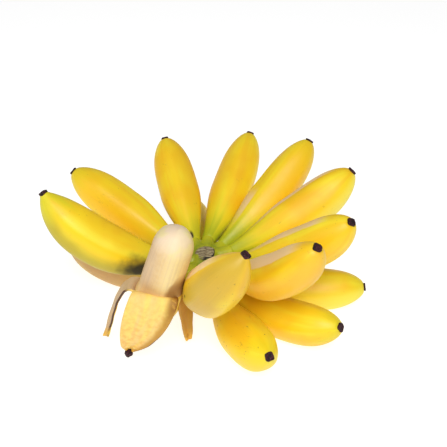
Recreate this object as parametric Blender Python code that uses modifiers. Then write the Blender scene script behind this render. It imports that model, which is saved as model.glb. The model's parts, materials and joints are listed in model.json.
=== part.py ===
"""A hand of small bananas as it lies on a table, with one banana peeled where it grows.

Two rows of bananas leave a short crown and curve up round it like a bowl, and the lower row
carries the hand. Metres, +Z up. The surface is at z = 0, and the origin is on it, under the
middle of the hand. Every place below is measured from the crown's axis.
"""

from collections import namedtuple
from math import atan2, cos, pi, radians, sin, sqrt

import bmesh
import bpy
from mathutils import Matrix, Vector

MM = 0.001
GAP = 0.3 * MM  # left between two pieces that touch
CLOSE = 0.05 * MM  # two points nearer than this are one corner
SHARP_FROM = radians(40)  # edges with a sharper turn than this aren't shaded smooth

# Where the crown's axis stands, from the middle of the hand's box.
CROWN_AXIS = Vector((-1.7, -10.45, 0)) * MM

# The bananas' roots stand on a circle round the crown's axis.
RING = 18 * MM
NECK = 4.2 * MM
RIDGES = 5  # soft ridges along a banana
SIDES = 3 * RIDGES
RIDGE = 0.022  # how far a ridge stands out, as a part of the radius
SQUEEZE = 0.10  # how much the sides are pressed in beside the crown
SQUEEZED_TO = 0.5  # the part of the length over which that fades
SWELL = (-0.12, 0.5)  # the parts of the length between which the neck swells
TAPER_FROM = 0.55  # the part of the length from which the banana tapers
TAPER_OVER = 0.44  # and the part over which it would come to a point
TAPER_POWERS = (2.5, 0.75)  # of the way along the taper, and of what that leaves
STOPS = (0, 0.05, 0.11, 0.18, 0.26, 0.35, 0.44, 0.53, 0.62, 0.70, 0.77, 0.83, 0.88, 0.915, 0.945)
WALK_STEPS = 24  # between two stops

# The dried flower end is short and nearly flush. Its rings are given by the part of its length
# that each is at and by its radius as a part of the whole.
FLOWER_END = 3.2 * MM
FLOWER_RADIUS = 3.4 * MM
FLOWER_RINGS = ((0, 1.1), (0.35, 0.9), (0.8, 1), (1, 0.8))

# The root's azimuth and height on the crown, the heading and the rise at which the banana
# leaves it, its bend from root to tip, the roll of that bend to one side, its length and its
# greatest width. Degrees and millimetres; azimuths and headings run from +X towards +Y.
Banana = namedtuple("Banana", "name azimuth height heading rise bend roll length width")
UPPER_ROW = [
    Banana("banana_01", 189, 35, 183, 1, 62, -11, 109, 33),
    Banana("banana_02", 152, 35, 140, 9, 30, 34, 104, 31),
    Banana("banana_03", 118, 37, 103, 6, 39, 10, 97, 30),
    Banana("banana_04", 87, 37, 72, 0, 43, -3, 108, 30.5),
    Banana("banana_05", 54, 35, 45, 13, 34, -4, 106, 29.5),
    Banana("banana_06", 20, 37, 18, 15, 31, -5, 103, 31.5),
    Banana("banana_07", -11, 34, -12, 14, 44, -18, 98, 31),
    Banana("banana_08", -45, 37, -47, 9, 58, 3, 100, 30),
    Banana("banana_09", -83, 37, -100, 9, 87, 31, 104, 33),
]
LOWER_ROW = [
    Banana("banana_10", -76, 22, -59, -26, 67, -9, 86, 30.5),
    Banana("banana_11", -41, 22, -32, -23, 51, 0, 90, 29.5),
    Banana("banana_12", -6, 22, -3, -17, 27, 0, 95, 30.5),
    Banana("banana_13", 177, 22, 160, -20, 46, -15, 97, 31),
    Banana("banana_14", 139, 22, 130, -16, 24, 0, 92, 29),
    Banana("banana_15", 102, 22, 98, -16, 24, 0, 90, 29),
    Banana("banana_16", 66, 22, 62, -16, 24, 0, 92, 29),
    Banana("banana_17", 30, 22, 28, -16, 24, 0, 92, 29),
]

# The peeled banana sags from the crown, then turns upright. Its skin stays whole up to the
# rim, which is highest in front, and from there four strips fold over and hang down.
PEELED = Banana("peeled", 229, 34.5, 227, -32, 125, 21, 111, 30)
BENT_BY = 0.56  # the part of the length by which it has made its whole bend
SKIN = 1.6 * MM
PEEL_SWELL = (-0.1, 0.42)
PEEL_SQUEEZED_TO = 0.3
RIM = 0.50  # the part of the length that keeps its skin
RIM_TILT = 0.06  # how much more than that it keeps in front
RIM_FRONT = radians(120)
CUP_PARTS = (0, 0.11, 0.23, 0.36, 0.49, 0.62, 0.75, 0.88, 1)

# The flesh takes this part of the hollow's radius, first where the banana bends and then from
# the rim on. It rounds off from its top, through rings that are given by their part of the way.
FLESH_FILL = (0.8, 0.88)
FILL_FROM = 0.2
FLESH_STOPS = (0.06, 0.11, 0.17, 0.23, 0.29, 0.35, 0.41, 0.47, 0.56, 0.64, 0.72, 0.79, 0.85)
FLESH_TOP = 0.87
FLESH_TOP_PARTS = (0.35, 0.62, 0.82, 0.94, 0.99)

# A strip keeps some of the rim's sides, from its first one on. Each of its two edges follows a
# cubic curve from the rim by way of two handles to its end, in millimetres, and between them
# its middle bulges towards the outer skin.
Strip = namedtuple("Strip", "first sides first_edge last_edge bulge")
STRIPS = [
    Strip(4, 5, ((-11, -78, 72), (-13, -78, 30), (-46, -63, 9)),
          ((-38, -78, 86), (-58, -78, 30), (-51, -62, 10)), 3),
    Strip(9, 3, ((-48, -54, 60), (-56, -50, 38), (-63, -50, 9)),
          ((-50, -42, 60), (-58, -46, 36), (-68, -44, 5.5)), 1.5),
    Strip(12, 4, ((-34, -30, 60), (-26, -20, 60), (-22, -20, 47)),
          ((-14, -36, 60), (-12, -26, 58), (-15, -17, 47)), 2),
    Strip(1, 3, ((-12, -38, 60), (-10.5, -36, 32), (-9.5, -47, 4.5)),
          ((-16, -58, 62), (-16, -46, 34), (-13, -50, 5)), 1.5),
]
STRIP_ROWS = 8
FLAT_FROM = 0.25  # the part of a strip over which the rim's round section flattens
BULGE_FROM = 0.3  # the part of a strip after which its middle bulges

# The peeled banana's flower end hangs from the front strip. Its rings are given by their depth
# below the strip's end and their radius, in millimetres.
HANG = Vector((-0.15, 0.1, -1)).normalized()
PEEL_FLOWER_RINGS = ((-2, 2.0), (0.5, 2.5), (3.6, 2.7), (4.8, 2.1))

# The crown between the roots, as radii by height from its underside to its cut top.
CROWN_PROFILE = ((15, 5), (18, 9), (24, 11.5), (33, 11.5), (38, 9.5), (42, 6.5))

# The crown has an arm to each banana. An arm leaves the axis at a base height plus this part
# of its banana's own height.
ARM_RADIUS = 6 * MM
ARM_BASE = 5 * MM
ARM_RISE = 0.8

Look = namedtuple("Look", "colour roughness")
YELLOW = Look((0.80, 0.50, 0.03), 0.5)
DULL_YELLOW = Look((0.60, 0.40, 0.05), 0.5)
CREAM = Look((0.85, 0.68, 0.36), 0.6)
PEEL_INSIDE = Look((0.86, 0.60, 0.20), 0.6)
CROWN_GREEN = Look((0.30, 0.34, 0.08), 0.7)


def empty_scene():
    """Removes the objects that the file opened with."""
    for thing in list(bpy.data.objects):
        bpy.data.objects.remove(thing, do_unlink=True)


def collection(name):
    """A new collection in the scene."""
    made = bpy.data.collections.new(name)
    bpy.context.scene.collection.children.link(made)
    return made


def finish(name, look):
    """A plain material with the look's colour and roughness."""
    material = bpy.data.materials.new(name)
    material.use_nodes = True
    shader = material.node_tree.nodes["Principled BSDF"]
    shader.inputs["Base Color"].default_value = (*look.colour, 1)
    shader.inputs["Roughness"].default_value = look.roughness
    shader.inputs["Metallic"].default_value = 0
    return material


def place(name, bm, home, hand, look):
    """Turns the worked shape into a smooth object under the hand's empty."""
    mesh = bpy.data.meshes.new(name)
    bm.to_mesh(mesh)
    bm.free()
    mesh.shade_smooth()
    mesh.set_sharp_from_angle(angle=SHARP_FROM)
    mesh.materials.append(finish(name, look))
    thing = bpy.data.objects.new(name, mesh)
    thing.parent = hand
    home.objects.link(thing)
    return thing


def smooth(start, end, value):
    """Eases from 0 to 1 as the value goes from start to end."""
    part = min(max((value - start) / (end - start), 0), 1)
    return part * part * (3 - 2 * part)


def root(banana):
    """The middle of the banana's cut from the crown."""
    turn = radians(banana.azimuth)
    return Vector((RING * cos(turn), RING * sin(turn), banana.height * MM))


def walk(banana, stops, early=False):
    """Frames (point, forward, up, side) of the centre line at the stops, from 0 to 1.

    The line bends in one plane: evenly, or, where early is set, only in its first part.
    """
    heading, rise, bend, roll = (radians(v) for v in banana[3:7])
    start = Vector((cos(heading) * cos(rise), sin(heading) * cos(rise), sin(rise)))
    above = Vector((-cos(heading) * sin(rise), -sin(heading) * sin(rise), cos(rise)))
    level = above.cross(start)
    inward = cos(roll) * above + sin(roll) * level
    side = inward.cross(start)

    def turned(t):
        return bend * (smooth(0, BENT_BY, t) if early else t)

    point = root(banana)
    before = 0
    frames = []
    for stop in stops:
        stride = (stop - before) / WALK_STEPS
        for step in range(WALK_STEPS):
            angle = turned(before + (step + 0.5) * stride)
            along = cos(angle) * start + sin(angle) * inward
            point = point + along * stride * banana.length * MM
        before = stop
        angle = turned(stop)
        forward = cos(angle) * start + sin(angle) * inward
        up = cos(angle) * inward - sin(angle) * start
        frames.append((point, forward, up, side))
    return frames


def body_radius(banana, t):
    """A slim neck that swells slowly, full in the middle and blunt at the flower end."""
    full = banana.width * MM / 2
    tapered = min(max(0, t - TAPER_FROM) / TAPER_OVER, 1)
    taper = (1 - tapered ** TAPER_POWERS[0]) ** TAPER_POWERS[1]
    return (NECK + (full - NECK) * smooth(*SWELL, t)) * taper


def ring(frame, radius, ridge=RIDGE, squeeze=0.0):
    """One section: a soft pentagon across the frame's forward direction."""
    point, _, up, side = frame
    points = []
    for index in range(SIDES):
        turn = 2 * pi * index / SIDES
        reach = radius * (1 + ridge * cos(RIDGES * turn))
        points.append(point + side * reach * sin(turn) * (1 - squeeze) + up * reach * cos(turn))
    return points


def loft(rings):
    """A closed tube through the rings, begun as a cylinder that is cut into as many levels."""
    bm = bmesh.new()
    last = len(rings) - 1
    bmesh.ops.create_cone(
        bm, cap_ends=True, segments=SIDES, radius1=1, radius2=1, depth=last,
        matrix=Matrix.Translation((0, 0, last / 2)),
    )
    for level in range(1, last):
        whole = bm.verts[:] + bm.edges[:] + bm.faces[:]
        bmesh.ops.bisect_plane(bm, geom=whole, plane_co=(0, 0, level), plane_no=(0, 0, 1))
    for vert in bm.verts:
        index = round(atan2(vert.co.x, vert.co.y) / (2 * pi) * SIDES) % SIDES
        vert.co = rings[round(vert.co.z)][index]
    return bm


def rest_flat(bm):
    """Cuts off what reaches below the surface, which leaves a small flat spot to rest on."""
    whole = bm.verts[:] + bm.edges[:] + bm.faces[:]
    cut = bmesh.ops.bisect_plane(
        bm, geom=whole, plane_co=(0, 0, 0), plane_no=(0, 0, 1), clear_inner=True)
    edges = [part for part in cut["geom_cut"] if isinstance(part, bmesh.types.BMEdge)]
    if edges:
        bmesh.ops.holes_fill(bm, edges=edges, sides=0)
        bmesh.ops.recalc_face_normals(bm, faces=bm.faces)


def banana_shape(banana):
    """One whole banana with its dried flower end, from the crown outwards."""
    frames = walk(banana, STOPS)
    rings = []
    for stop, frame in zip(STOPS, frames):
        squeeze = SQUEEZE * (1 - smooth(0, SQUEEZED_TO, stop))
        rings.append(ring(frame, body_radius(banana, stop), squeeze=squeeze))
    end = FLOWER_END / (banana.length * MM)
    frames = walk(banana, [1 - end + end * part for part, _ in FLOWER_RINGS])
    for frame, (_, radius) in zip(frames, FLOWER_RINGS):
        rings.append(ring(frame, radius * FLOWER_RADIUS))
    bm = loft(rings)
    rest_flat(bm)
    return bm


def peel_radius(t):
    """Radius of the peeled banana's skin, from its neck to the rim."""
    full = PEELED.width * MM / 2
    return NECK + (full - NECK) * smooth(*PEEL_SWELL, t)


def cup_ring(part):
    """The skin's ring at a part of the way to the rim, slanted by the same part of its tilt."""
    points = []
    for index in range(SIDES):
        turn = 2 * pi * index / SIDES
        stop = part * (RIM + RIM_TILT * cos(turn - RIM_FRONT))
        frame = walk(PEELED, (stop,), early=True)[0]
        squeeze = SQUEEZE * (1 - smooth(0, PEEL_SQUEEZED_TO, stop))
        points.append(ring(frame, peel_radius(stop), squeeze=squeeze)[index])
    return points


def flesh_fill(t):
    """The part of the hollow's radius that the flesh takes."""
    least, most = FLESH_FILL
    return least + (most - least) * smooth(FILL_FROM, RIM, t)


def flesh_shape():
    """The bared flesh, which fills the skin below the rim and is round on top."""
    stops = list(FLESH_STOPS)
    radii = [(peel_radius(stop) - SKIN) * flesh_fill(stop) for stop in stops]
    full = radii[-1]
    for part in FLESH_TOP_PARTS:
        stops.append(FLESH_TOP + (1 - FLESH_TOP) * part)
        radii.append(full * sqrt(1 - part * part))
    frames = walk(PEELED, stops, early=True)
    return loft([ring(frame, radius) for frame, radius in zip(frames, radii)])


def cubic(points, u):
    """The place at u, from 0 to 1, on a cubic curve with four control points."""
    a, b, c, d = points
    v = 1 - u
    return v * v * v * a + 3 * v * v * u * b + 3 * v * u * u * c + u * u * u * d


def strip_rows(strip, rim):
    """The strip's rows of points, one for each corner of the rim that it keeps."""
    start = [rim[(strip.first + k) % SIDES] for k in range(strip.sides + 1)]
    first = [start[0]] + [Vector(place) * MM for place in strip.first_edge]
    last = [start[-1]] + [Vector(place) * MM for place in strip.last_edge]
    before = (start[0], start[-1])
    rows = []
    for row in range(1, STRIP_ROWS + 1):
        u = row / STRIP_ROWS
        left, right = cubic(first, u), cubic(last, u)
        along = (left + right - before[0] - before[1]).normalized()
        outward = along.cross(right - left).normalized()
        before = (left, right)
        round_part = 1 - smooth(0, FLAT_FROM, u)
        points = []
        for k, place in enumerate(start):
            part = k / strip.sides
            arc = place - start[0].lerp(start[-1], part)
            belly = 4 * part * (1 - part) * smooth(BULGE_FROM, 1, u)
            bulge = outward * strip.bulge * MM * belly
            points.append(left.lerp(right, part) + arc * round_part + bulge)
        rows.append(points)
    return rows


def peel_surface():
    """The skin's outer face: the neck and cup, open at the rim, and the strips drawn from it."""
    rings = [cup_ring(part) for part in CUP_PARTS]
    rim = rings[-1]
    middle = sum(rim, Vector()) / SIDES
    bm = loft(rings)
    lids = [face for face in bm.faces if len(face.verts) == SIDES]
    lid = min(lids, key=lambda face: (face.calc_center_median() - middle).length)
    bmesh.ops.delete(bm, geom=[lid], context="FACES_ONLY")
    for strip in STRIPS:
        draw_strip(bm, strip, rim)
    return bm


def draw_strip(bm, strip, rim):
    """Extrudes the strip's part of the rim row by row."""
    places = [rim[(strip.first + k) % SIDES] for k in range(strip.sides + 1)]
    rows = strip_rows(strip, rim)

    def column(vert):
        return min(range(len(places)), key=lambda k: (vert.co - places[k]).length)

    edges = []
    for edge in bm.edges:
        near = [min((vert.co - place).length for place in places) < CLOSE for vert in edge.verts]
        if all(near) and edge.is_boundary:
            edges.append(edge)
    for row in rows:
        made = bmesh.ops.extrude_edge_only(bm, edges=edges)["geom"]
        edges = [part for part in made if isinstance(part, bmesh.types.BMEdge)]
        verts = [part for part in made if isinstance(part, bmesh.types.BMVert)]
        for vert, k in [(vert, column(vert)) for vert in verts]:
            vert.co = row[k]
        places = row


def flower_block():
    """The dried flower end, which hangs from the tip of the front strip."""
    end = (Vector(STRIPS[0].first_edge[-1]) + Vector(STRIPS[0].last_edge[-1])) / 2 * MM
    side = HANG.cross(Vector((0, 1, 0))).normalized()
    up = HANG.cross(side)
    rings = []
    for depth, radius in PEEL_FLOWER_RINGS:
        frame = (end + HANG * depth * MM, HANG, up, side)
        rings.append(ring(frame, radius * MM))
    return loft(rings)


def crown_core():
    """The crown's own body, turned about its axis."""
    rings = []
    for height, radius in CROWN_PROFILE:
        frame = (Vector((0, 0, height * MM)), Vector((0, 0, 1)), Vector((0, 1, 0)), Vector((1, 0, 0)))
        rings.append(ring(frame, radius * MM, ridge=0))
    return loft(rings)


def crown_arm(banana, radius, squeeze):
    """The crown's arm to one banana, which ends just short of the banana's root."""
    start = Vector((0, 0, ARM_BASE + ARM_RISE * banana.height * MM))
    point, forward, up, side = walk(banana, (0,))[0]
    end = point - forward * GAP
    rings = [
        ring((start, forward, up, side), ARM_RADIUS, ridge=0),
        ring(((start + end) / 2, forward, up, side), (ARM_RADIUS + radius) / 2, ridge=0),
        ring((end, forward, up, side), radius, squeeze=squeeze),
    ]
    return loft(rings)


def join(thing, others):
    """Joins the pieces of the collection to the thing."""
    union = thing.modifiers.new("grown together", "BOOLEAN")
    union.operation = "UNION"
    union.operand_type = "COLLECTION"
    union.collection = others
    union.solver = "EXACT"


def guide(thing):
    """Marks a piece that only shapes another one."""
    thing.hide_render = True
    thing.display_type = "WIRE"


def build_crown(home, arms, hand):
    """The crown with an arm to each banana."""
    crown = place("crown", crown_core(), home, hand, CROWN_GREEN)
    for banana in UPPER_ROW + LOWER_ROW:
        bm = crown_arm(banana, body_radius(banana, 0), SQUEEZE)
        guide(place(banana.name + "_arm", bm, arms, hand, CROWN_GREEN))
    bm = crown_arm(PEELED, peel_radius(0), SQUEEZE)
    guide(place("peeled_arm", bm, arms, hand, CROWN_GREEN))
    join(crown, arms)


def build_peel(home, ends, hand):
    """The peeled banana's skin, as a shell with its flower end."""
    peel = place("peel", peel_surface(), home, hand, PEEL_INSIDE)
    shell = peel.modifiers.new("skin thickness", "SOLIDIFY")
    shell.thickness = SKIN
    shell.offset = -1
    guide(place("peel_flower_end", flower_block(), ends, hand, PEEL_INSIDE))
    join(peel, ends)


def main():
    empty_scene()
    home = collection("banana hand")
    arms = collection("crown arms")
    ends = collection("flower end")
    hand = bpy.data.objects.new("hand", None)
    hand.location = CROWN_AXIS
    home.objects.link(hand)
    for banana in UPPER_ROW + LOWER_ROW:
        look = DULL_YELLOW if banana.name == "banana_09" else YELLOW
        place(banana.name, banana_shape(banana), home, hand, look)
    place("flesh", flesh_shape(), home, hand, CREAM)
    build_peel(home, ends, hand)
    build_crown(home, arms, hand)


main()
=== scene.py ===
# %% [markdown]
# # A hand of small bananas, one of them peeled
#
# A hand is one row or more of bananas that grew from the same crown. This one has seventeen whole
# bananas in two rows round a short crown, and one in front that is peeled where it grows.
# The solid model gives every piece its place. Here each banana gets a finer skin over its solid,
# and the parts that a solid leaves plain: ridges, dried flower ends, strips of peel and marks.

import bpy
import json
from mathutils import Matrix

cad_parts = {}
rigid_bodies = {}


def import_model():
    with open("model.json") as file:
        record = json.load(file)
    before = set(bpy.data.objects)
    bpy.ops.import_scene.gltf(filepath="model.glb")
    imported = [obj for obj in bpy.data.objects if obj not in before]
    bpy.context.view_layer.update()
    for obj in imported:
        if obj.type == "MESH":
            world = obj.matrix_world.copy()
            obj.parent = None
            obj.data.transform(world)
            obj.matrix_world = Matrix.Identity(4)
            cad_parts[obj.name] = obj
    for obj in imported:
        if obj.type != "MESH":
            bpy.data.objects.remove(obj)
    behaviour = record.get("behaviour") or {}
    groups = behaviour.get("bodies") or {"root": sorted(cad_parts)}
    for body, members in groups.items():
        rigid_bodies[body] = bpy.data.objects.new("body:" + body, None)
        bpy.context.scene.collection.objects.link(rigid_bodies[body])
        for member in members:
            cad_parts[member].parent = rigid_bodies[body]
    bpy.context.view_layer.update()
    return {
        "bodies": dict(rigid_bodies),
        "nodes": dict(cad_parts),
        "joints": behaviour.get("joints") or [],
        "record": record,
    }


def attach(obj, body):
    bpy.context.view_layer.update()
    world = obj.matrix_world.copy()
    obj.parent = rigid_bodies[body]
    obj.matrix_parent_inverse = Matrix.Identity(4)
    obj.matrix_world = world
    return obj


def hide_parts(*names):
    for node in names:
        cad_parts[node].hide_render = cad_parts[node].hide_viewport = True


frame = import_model()
print("solid pieces:", len(frame["nodes"]))

# %% [markdown]
# ## The centre line of a banana
#
# A banana is a tube round a line that bends in one plane. Eight numbers place that line: where it
# leaves the crown, its heading and rise, how far it bends, which way the bend leans, and its
# length and width. A Bezier curve would do too, but with these numbers two neighbours can be
# spread apart by a degree at a time.

# %% Where every banana grows
from collections import namedtuple
from math import atan2, cos, pi, radians, sin, sqrt

import bmesh
import bpy
import json
from mathutils import Matrix, Vector, noise

MM = 0.001
CROWN_AXIS = Vector((-1.7, -10.45, 0)) * MM
RING = 18 * MM  # the circle round the crown's axis where the bananas leave it

Banana = namedtuple("Banana", "name azimuth height heading rise bend roll length width")
UPPER_ROW = [
    Banana("banana_01", 189, 35, 183, 1, 62, -11, 109, 33),
    Banana("banana_02", 152, 35, 140, 9, 30, 34, 104, 31),
    Banana("banana_03", 118, 37, 103, 6, 39, 10, 97, 30),
    Banana("banana_04", 87, 37, 72, 0, 43, -3, 108, 30.5),
    Banana("banana_05", 54, 35, 45, 13, 34, -4, 106, 29.5),
    Banana("banana_06", 20, 37, 18, 15, 31, -5, 103, 31.5),
    Banana("banana_07", -11, 34, -12, 14, 44, -18, 98, 31),
    Banana("banana_08", -45, 37, -47, 9, 58, 3, 100, 30),
    Banana("banana_09", -83, 37, -100, 9, 87, 31, 104, 33),
]
LOWER_ROW = [
    Banana("banana_10", -76, 22, -59, -26, 67, -9, 86, 30.5),
    Banana("banana_11", -41, 22, -32, -23, 51, 0, 90, 29.5),
    Banana("banana_12", -6, 22, -3, -17, 27, 0, 95, 30.5),
    Banana("banana_13", 177, 22, 160, -20, 46, -15, 97, 31),
    Banana("banana_14", 139, 22, 130, -16, 24, 0, 92, 29),
    Banana("banana_15", 102, 22, 98, -16, 24, 0, 90, 29),
    Banana("banana_16", 66, 22, 62, -16, 24, 0, 92, 29),
    Banana("banana_17", 30, 22, 28, -16, 24, 0, 92, 29),
]
PEELED = Banana("peeled", 229, 34.5, 227, -32, 125, 21, 111, 30)
print("bananas:", len(UPPER_ROW + LOWER_ROW) + 1)


# %% Walking along the line
def smooth(start, end, value):
    """Eases from 0 to 1 as the value goes from start to end."""
    part = min(max((value - start) / (end - start), 0), 1)
    return part * part * (3 - 2 * part)


BENT_BY = 0.56  # the part of its length by which the peeled banana has made its whole bend
WALK_STEPS = 24  # between two stops


def walk(banana, stops, early=False):
    """Frames (point, forward, up, side) of the centre line at the stops, from 0 to 1.

    The line bends evenly, or, where early is set, only in its first part.
    """
    heading, rise, bend, roll = (radians(v) for v in banana[3:7])
    start = Vector((cos(heading) * cos(rise), sin(heading) * cos(rise), sin(rise)))
    above = Vector((-cos(heading) * sin(rise), -sin(heading) * sin(rise), cos(rise)))
    inward = cos(roll) * above + sin(roll) * above.cross(start)
    side = inward.cross(start)
    turn = radians(banana.azimuth)
    point = CROWN_AXIS + Vector((RING * cos(turn), RING * sin(turn), banana.height * MM))
    before = 0
    frames = []
    for stop in stops:
        stride = (stop - before) / WALK_STEPS
        for step in range(WALK_STEPS):
            t = before + (step + 0.5) * stride
            angle = bend * (smooth(0, BENT_BY, t) if early else t)
            forward = cos(angle) * start + sin(angle) * inward
            point = point + forward * stride * banana.length * MM
        before = stop
        angle = bend * (smooth(0, BENT_BY, stop) if early else stop)
        forward = cos(angle) * start + sin(angle) * inward
        up = cos(angle) * inward - sin(angle) * start
        frames.append((point, forward, up, side))
    return frames


tip = walk(UPPER_ROW[0], (1,))[0][0]
print("banana_01 ends at", [round(v / MM) for v in tip], "mm")

# %% [markdown]
# ## Tubes from rings
#
# Each body here is a tube whose rings change in size and shape. The tube starts as a cylinder
# with as many sides as a ring has points. Its upright edges are cut into levels, and every
# vertex then goes to its own place on its ring. A vertex also keeps where it is on the banana:
# the direction round the tube and the part of the length. The materials read that later, so
# streaks and green necks follow the bend of each banana.

# %% A tube through rings
SIDES = 45


def tube(rings, lengths):
    """A closed tube through the rings. Vertices keep their direction round it and their length."""
    sides = len(rings[0])
    last = len(rings) - 1
    bm = bmesh.new()
    bmesh.ops.create_cone(
        bm, cap_ends=True, segments=sides, radius1=1, radius2=1, depth=last,
        matrix=Matrix.Translation((0, 0, last / 2)),
    )
    upright = [edge for edge in bm.edges if abs(edge.verts[0].co.z - edge.verts[1].co.z) > 0.5]
    bmesh.ops.subdivide_edges(bm, edges=upright, cuts=last - 1, use_grid_fill=True)
    place = bm.verts.layers.float_vector.new("place")
    for vert in bm.verts:
        turn = atan2(vert.co.x, vert.co.y)
        level = round(vert.co.z)
        vert[place] = (sin(turn), cos(turn), lengths[level])
        vert.co = rings[level][round(turn / (2 * pi) * sides) % sides]
    return bm


def finish_mesh(name, bm, levels=1):
    """Makes a smooth object of the worked mesh and rounds it with a subdivision surface."""
    mesh = bpy.data.meshes.new(name)
    bm.to_mesh(mesh)
    bm.free()
    mesh.shade_smooth()
    thing = bpy.data.objects.new(name, mesh)
    bpy.context.scene.collection.objects.link(thing)
    if levels:
        rounding = thing.modifiers.new("rounding", "SUBSURF")
        rounding.levels = levels
        rounding.render_levels = levels
    return thing


# %% [markdown]
# ## The banana's section
#
# A banana isn't round: five soft ridges run along it with flatter faces between them. A cosine
# that repeats five times in a turn gives the ridges, and its double makes their crests a little
# crisper. Slow noise keeps two bananas from being copies of each other. Near the crown the
# neighbours press the necks flat at the sides.

# %% One ring of skin
NECK = 4.2 * MM
RIDGE = 0.027  # how far a ridge stands out, as a part of the radius
CREST = 0.005  # the finer wave that makes a ridge crisp
UNEVEN = 0.010  # the slow noise
INSIDE = 0.982  # keeps crests and bumps within the solid's size
SQUEEZE = 0.10
SQUEEZED_TO = 0.5  # the part of the length over which that fades
SWELL = (-0.12, 0.5)  # the parts of the length between which the neck swells
TAPER_FROM = 0.55
TAPER_OVER = 0.45
BLUNT = (3.0, 0.63)  # the two powers of the taper
SLENDER = (2.6, 0.80)
SLENDER_TIPS = ("banana_01", "banana_09", "banana_10")


def body_radius(banana, t):
    """A slim neck that swells slowly, full in the middle and blunt at the flower end."""
    full = banana.width * MM / 2
    tapered = min(max(0, t - TAPER_FROM) / TAPER_OVER, 1)
    inner_power, outer_power = SLENDER if banana.name in SLENDER_TIPS else BLUNT
    taper = (1 - tapered ** inner_power) ** outer_power
    return (NECK + (full - NECK) * smooth(*SWELL, t)) * taper


def skin_ring(frame, radius, squeeze=0.0, ridge=RIDGE):
    """One ring of a ridged skin round the frame's point."""
    point, _, up, side = frame
    ring = []
    for index in range(SIDES):
        turn = 2 * pi * index / SIDES
        around = side * sin(turn) * (1 - squeeze) + up * cos(turn)
        waves = ridge * cos(5 * turn) + CREST * cos(10 * turn)
        slow = UNEVEN * noise.noise((point + around * radius) * 45)
        ring.append(point + around * radius * (INSIDE + waves + slow))
    return ring


print("neck", round(NECK / MM, 1), "mm, ridge", RIDGE)

# %% [markdown]
# ## Whole bananas
#
# The body ends in a short dried stub where the flower was. The skin runs into that stub in a
# narrow collar, so the last rings close in just before it. The lower bananas carry the hand:
# they are pressed flat where they touch the table, so no vertex goes below it. Most tips are
# blunt. Three are more slender, because blunt ones would reach past the solid hand.

# %% The skins of the whole bananas
FLOWER_END = 1.9 * MM
FLOWER_RADIUS = 2.9 * MM
BODY_END = 0.94  # from here the skin is never narrower than its collar
COLLAR = 1.04  # the collar's radius as a part of the flower end's
LEVELS = 44


def banana_skin(banana):
    """The skin of one whole banana, from inside the crown to the collar of its flower end."""
    tip = 1 - FLOWER_END / (banana.length * MM)
    stops = [BODY_END * level / LEVELS for level in range(LEVELS + 1)]
    stops += [BODY_END + (tip - BODY_END) * part for part in (0.35, 0.7, 1)]
    frames = walk(banana, stops)
    rings = []
    for stop, frame in zip(stops, frames):
        squeeze = SQUEEZE * (1 - smooth(0, SQUEEZED_TO, stop))
        radius = body_radius(banana, stop)
        if stop > BODY_END:
            radius = max(radius, COLLAR * FLOWER_RADIUS)
        rings.append(skin_ring(frame, radius, squeeze, RIDGE * (1 - smooth(0.75, 0.95, stop))))
    point, forward, up, side = frames[-1]
    for reach, size in ((0.35, 0.96), (0.1, 0.6)):
        place = (point + forward * reach * MM, forward, up, side)
        rings.append(skin_ring(place, size * FLOWER_RADIUS, ridge=0))
    bm = tube(rings, stops + [1, 1])
    for vert in bm.verts:
        vert.co.z = max(vert.co.z, 0)
    return bm


skins = {}
for banana in UPPER_ROW + LOWER_ROW:
    skins[banana.name] = finish_mesh(banana.name + "_skin", banana_skin(banana))
print("whole bananas:", len(skins))

# %% [markdown]
# ## Dried flower ends
#
# The flower dries to a hard black stub, blocky and crusty, a little wider at its end than at its
# collar. It is a short tube with an uneven four-sided section, and noise pushes its surface in
# and out. Modelling it apart from the skin lets its edge stay crisp.

# %% The flower ends
STUB_SIDES = 30


def flower_end(frame, depth, radius, seed):
    """A crusty stub that starts inside the skin at the frame's point."""
    point, forward, up, side = frame
    rings = []
    profile = ((-1.2, 0.80), (0.0, 0.94), (0.12, 1.02), (0.35, 1.0), (0.6, 1.02), (0.85, 1.03),
               (0.97, 0.95), (1.0, 0.80), (0.93, 0.55), (0.84, 0.25))
    for reach, size in profile:
        along = reach * depth if reach > 0 else reach * MM
        ring = []
        for index in range(STUB_SIDES):
            turn = 2 * pi * index / STUB_SIDES
            corner = 1 + 0.09 * cos(4 * turn + seed) + 0.04 * cos(3 * turn + 2 * seed)
            around = side * sin(turn) + up * cos(turn)
            place = point + forward * along + around * radius * size * corner
            crust = noise.noise(place * 900) * 0.25 * MM
            ring.append(place + around * crust + forward * crust * 0.6)
        rings.append(ring)
    bm = tube(rings, [max(0, reach) for reach, _ in profile])
    for vert in bm.verts:
        vert.co.z = max(vert.co.z, 0)
    return bm


stubs = {}
for number, banana in enumerate(UPPER_ROW + LOWER_ROW):
    tip = 1 - FLOWER_END / (banana.length * MM)
    at_tip = walk(banana, (tip,))[0]
    bm = flower_end(at_tip, FLOWER_END * 0.87, FLOWER_RADIUS, number * 1.7)
    stubs[banana.name] = finish_mesh(banana.name + "_flower_end", bm)
print("flower ends:", len(stubs))

# %% [markdown]
# ## The peeled banana
#
# Someone has opened this banana from its flower end. Its skin is whole from the crown up to a
# rim, and from there four strips fold over and hang down. The cup starts as the same kind of
# tube, open at the rim. Each strip is then pulled out of its part of the rim, row by row,
# between two cubic curves, and a Solidify modifier gives the sheet its thickness, with the
# pale inside as its second material.

# %% The cup below the rim
SKIN = 1.6 * MM
RIM = 0.50  # the part of the length that keeps its skin
RIM_TILT = 0.06  # how much more than that it keeps in front
RIM_FRONT = radians(120)
PEEL_SWELL = (-0.1, 0.42)
PEEL_SQUEEZED_TO = 0.3
CUP_LEVELS = 20


def peel_radius(t):
    """Radius of the peeled banana's skin, from its neck to the rim."""
    full = PEELED.width * MM / 2
    return NECK + (full - NECK) * smooth(*PEEL_SWELL, t)


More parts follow.
